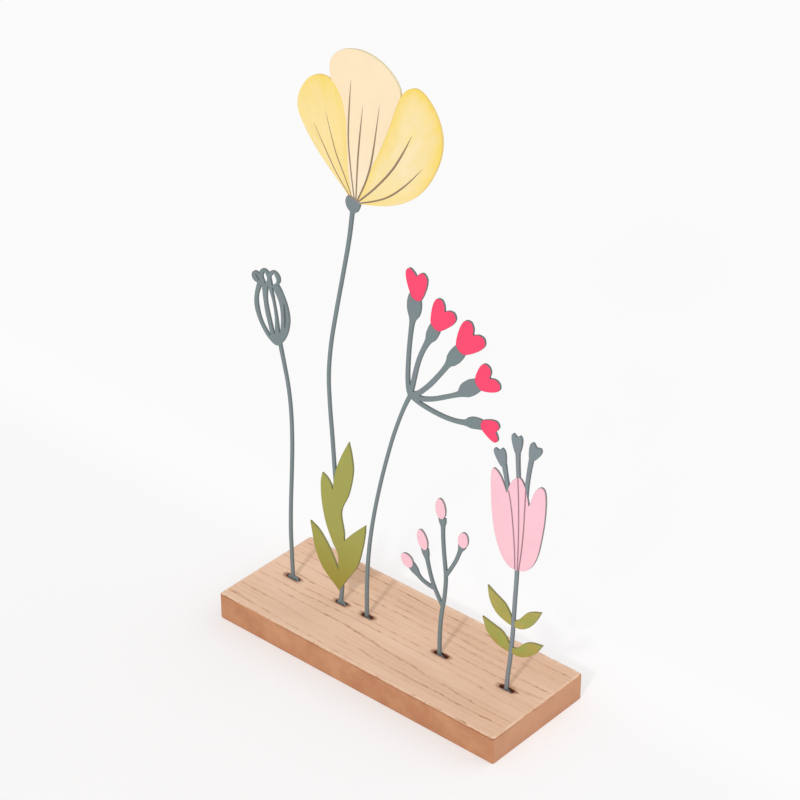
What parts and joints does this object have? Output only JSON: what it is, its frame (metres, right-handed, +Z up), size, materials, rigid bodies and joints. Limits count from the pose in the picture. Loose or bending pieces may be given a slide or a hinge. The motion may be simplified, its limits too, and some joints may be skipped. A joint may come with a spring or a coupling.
{
  "type": "metal flower ornament",
  "caption": "Free-standing ornament of flat painted sheet-metal flowers, a seed pod and a budding sprig that stand side by side in slots in a wooden board.",
  "frame": {"origin": "middle of the board's underside", "axes": "+X along the board to the viewer's right, +Y away from the viewer, +Z up"},
  "size_m": [0.1844, 0.068, 0.322],
  "materials": {
    "bare_wood": "sawn and sanded softwood board, unvarnished",
    "adhesive": "set clear-amber glue",
    "grey_enamel": "satin grey-green enamel on sheet steel",
    "red_enamel": "satin rose-red enamel on sheet steel",
    "pink_enamel": "satin pale pink enamel on sheet steel",
    "olive_enamel": "satin olive enamel on sheet steel",
    "yellow_enamel": "satin yellow enamel, sprayed darker towards the rim",
    "cream_enamel": "satin cream enamel on sheet steel"
  },
  "bodies": {
    "root": {"wooden_base": "bare_wood", "slot_glue": "adhesive", "seed_pod": "grey_enamel", "poppy_stalk": "grey_enamel", "poppy_left_petal": "yellow_enamel", "poppy_middle_petal": "cream_enamel", "poppy_right_petal": "yellow_enamel", "leaf_spray": "olive_enamel", "umbel_stalk": "grey_enamel", "umbel_heart_1": "red_enamel", "umbel_heart_2": "red_enamel", "umbel_heart_3": "red_enamel", "umbel_heart_4": "red_enamel", "umbel_heart_5": "red_enamel", "sprig_stalk": "grey_enamel", "sprig_bud_1": "pink_enamel", "sprig_bud_2": "pink_enamel", "sprig_bud_3": "pink_enamel", "sprig_bud_4": "pink_enamel", "tulip_stalk": "grey_enamel", "tulip_cup": "pink_enamel", "tulip_leaf_1": "olive_enamel", "tulip_leaf_2": "olive_enamel", "tulip_leaf_3": "olive_enamel", "tulip_leaf_4": "olive_enamel"}
  },
  "joints": []
}
